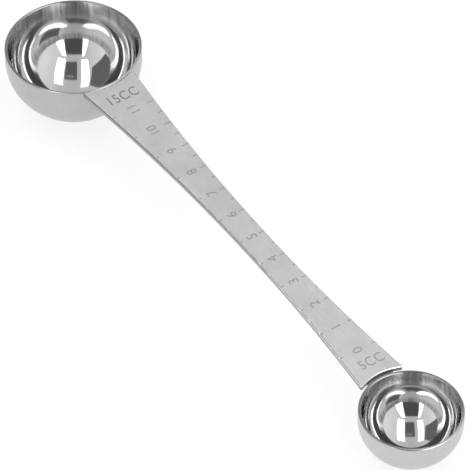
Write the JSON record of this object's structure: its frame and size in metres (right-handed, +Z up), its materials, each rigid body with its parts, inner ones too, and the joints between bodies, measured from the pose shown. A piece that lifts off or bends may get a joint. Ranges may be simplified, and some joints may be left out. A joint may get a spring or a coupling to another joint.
{
  "type": "measuring spoon",
  "caption": "Double-ended steel measuring spoon: a large and a small round bowl welded to a flat waisted strip with ruler marks.",
  "frame": {"origin": "under the middle of the spoon's length, on the surface that both bowls rest on", "axes": "+X along the handle towards the small bowl, +Z up out of the bowls' mouths, +Y across"},
  "size_m": [0.2004, 0.0396, 0.0229],
  "materials": {
    "large_bowl": "mirror-polished inside and on the rim, satin outside",
    "small_bowl": "mirror-polished inside and on the rim, satin outside",
    "handle_strip": "fine satin on the flats, polished edges, stamped marks",
    "large_bowl_weld": "smooth weld bead, left as welded",
    "small_bowl_weld": "smooth weld bead, left as welded"
  },
  "bodies": {
    "root": {"large_bowl": "large_bowl", "small_bowl": "small_bowl", "handle_strip": "handle_strip", "large_bowl_weld": "large_bowl_weld", "small_bowl_weld": "small_bowl_weld"}
  },
  "joints": []
}
